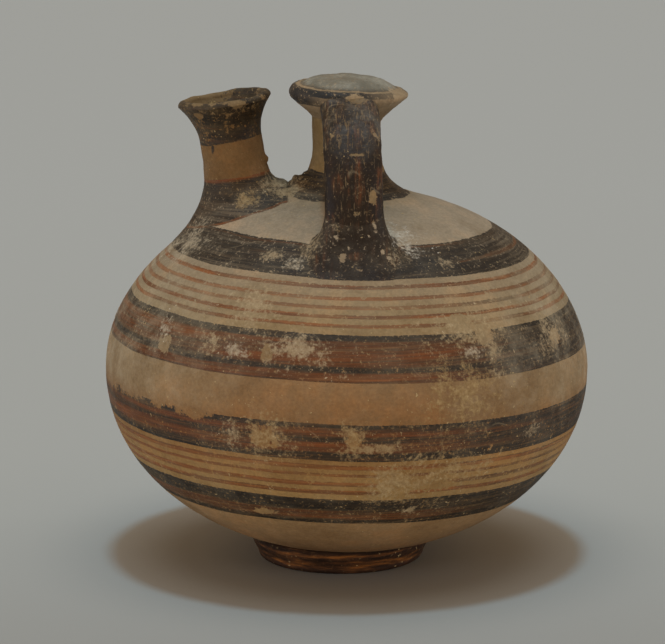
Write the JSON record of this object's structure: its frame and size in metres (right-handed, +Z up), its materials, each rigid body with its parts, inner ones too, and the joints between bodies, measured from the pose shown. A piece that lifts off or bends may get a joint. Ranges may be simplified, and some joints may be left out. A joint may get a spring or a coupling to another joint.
{
  "type": "stirrup jar",
  "caption": "Globular fired clay stirrup jar on a ring foot, with a false neck closed by a disc, strap handles from disc to shoulder and an upright spout beside them.",
  "frame": {"origin": "on the axis of the body, in the plane that the jar stands on", "axes": "+Z up along the body's axis, -X towards the spout, -Y towards the front handle"},
  "size_m": [0.125, 0.125, 0.1266],
  "materials": {
    "buff_clay": "smoothed buff clay with bands of dark brown and red-brown slip",
    "dark_paint": "worn dark brown slip",
    "spout_paint": "tan clay, partly covered with dark slip",
    "disc_paint": "worn grey-brown slip on buff clay",
    "foot_paint": "streaky red-brown slip"
  },
  "bodies": {
    "root": {"foot_ring": "foot_paint", "lower_body": "buff_clay", "upper_body": "buff_clay", "spout": "spout_paint", "spout_luting_coil": "spout_paint", "false_neck": "spout_paint", "neck_luting_coil": "dark_paint", "neck_disc": "disc_paint", "front_handle": "dark_paint", "rear_handle": "dark_paint", "front_handle_luting_coil": "dark_paint", "rear_handle_luting_coil": "dark_paint"}
  },
  "joints": []
}
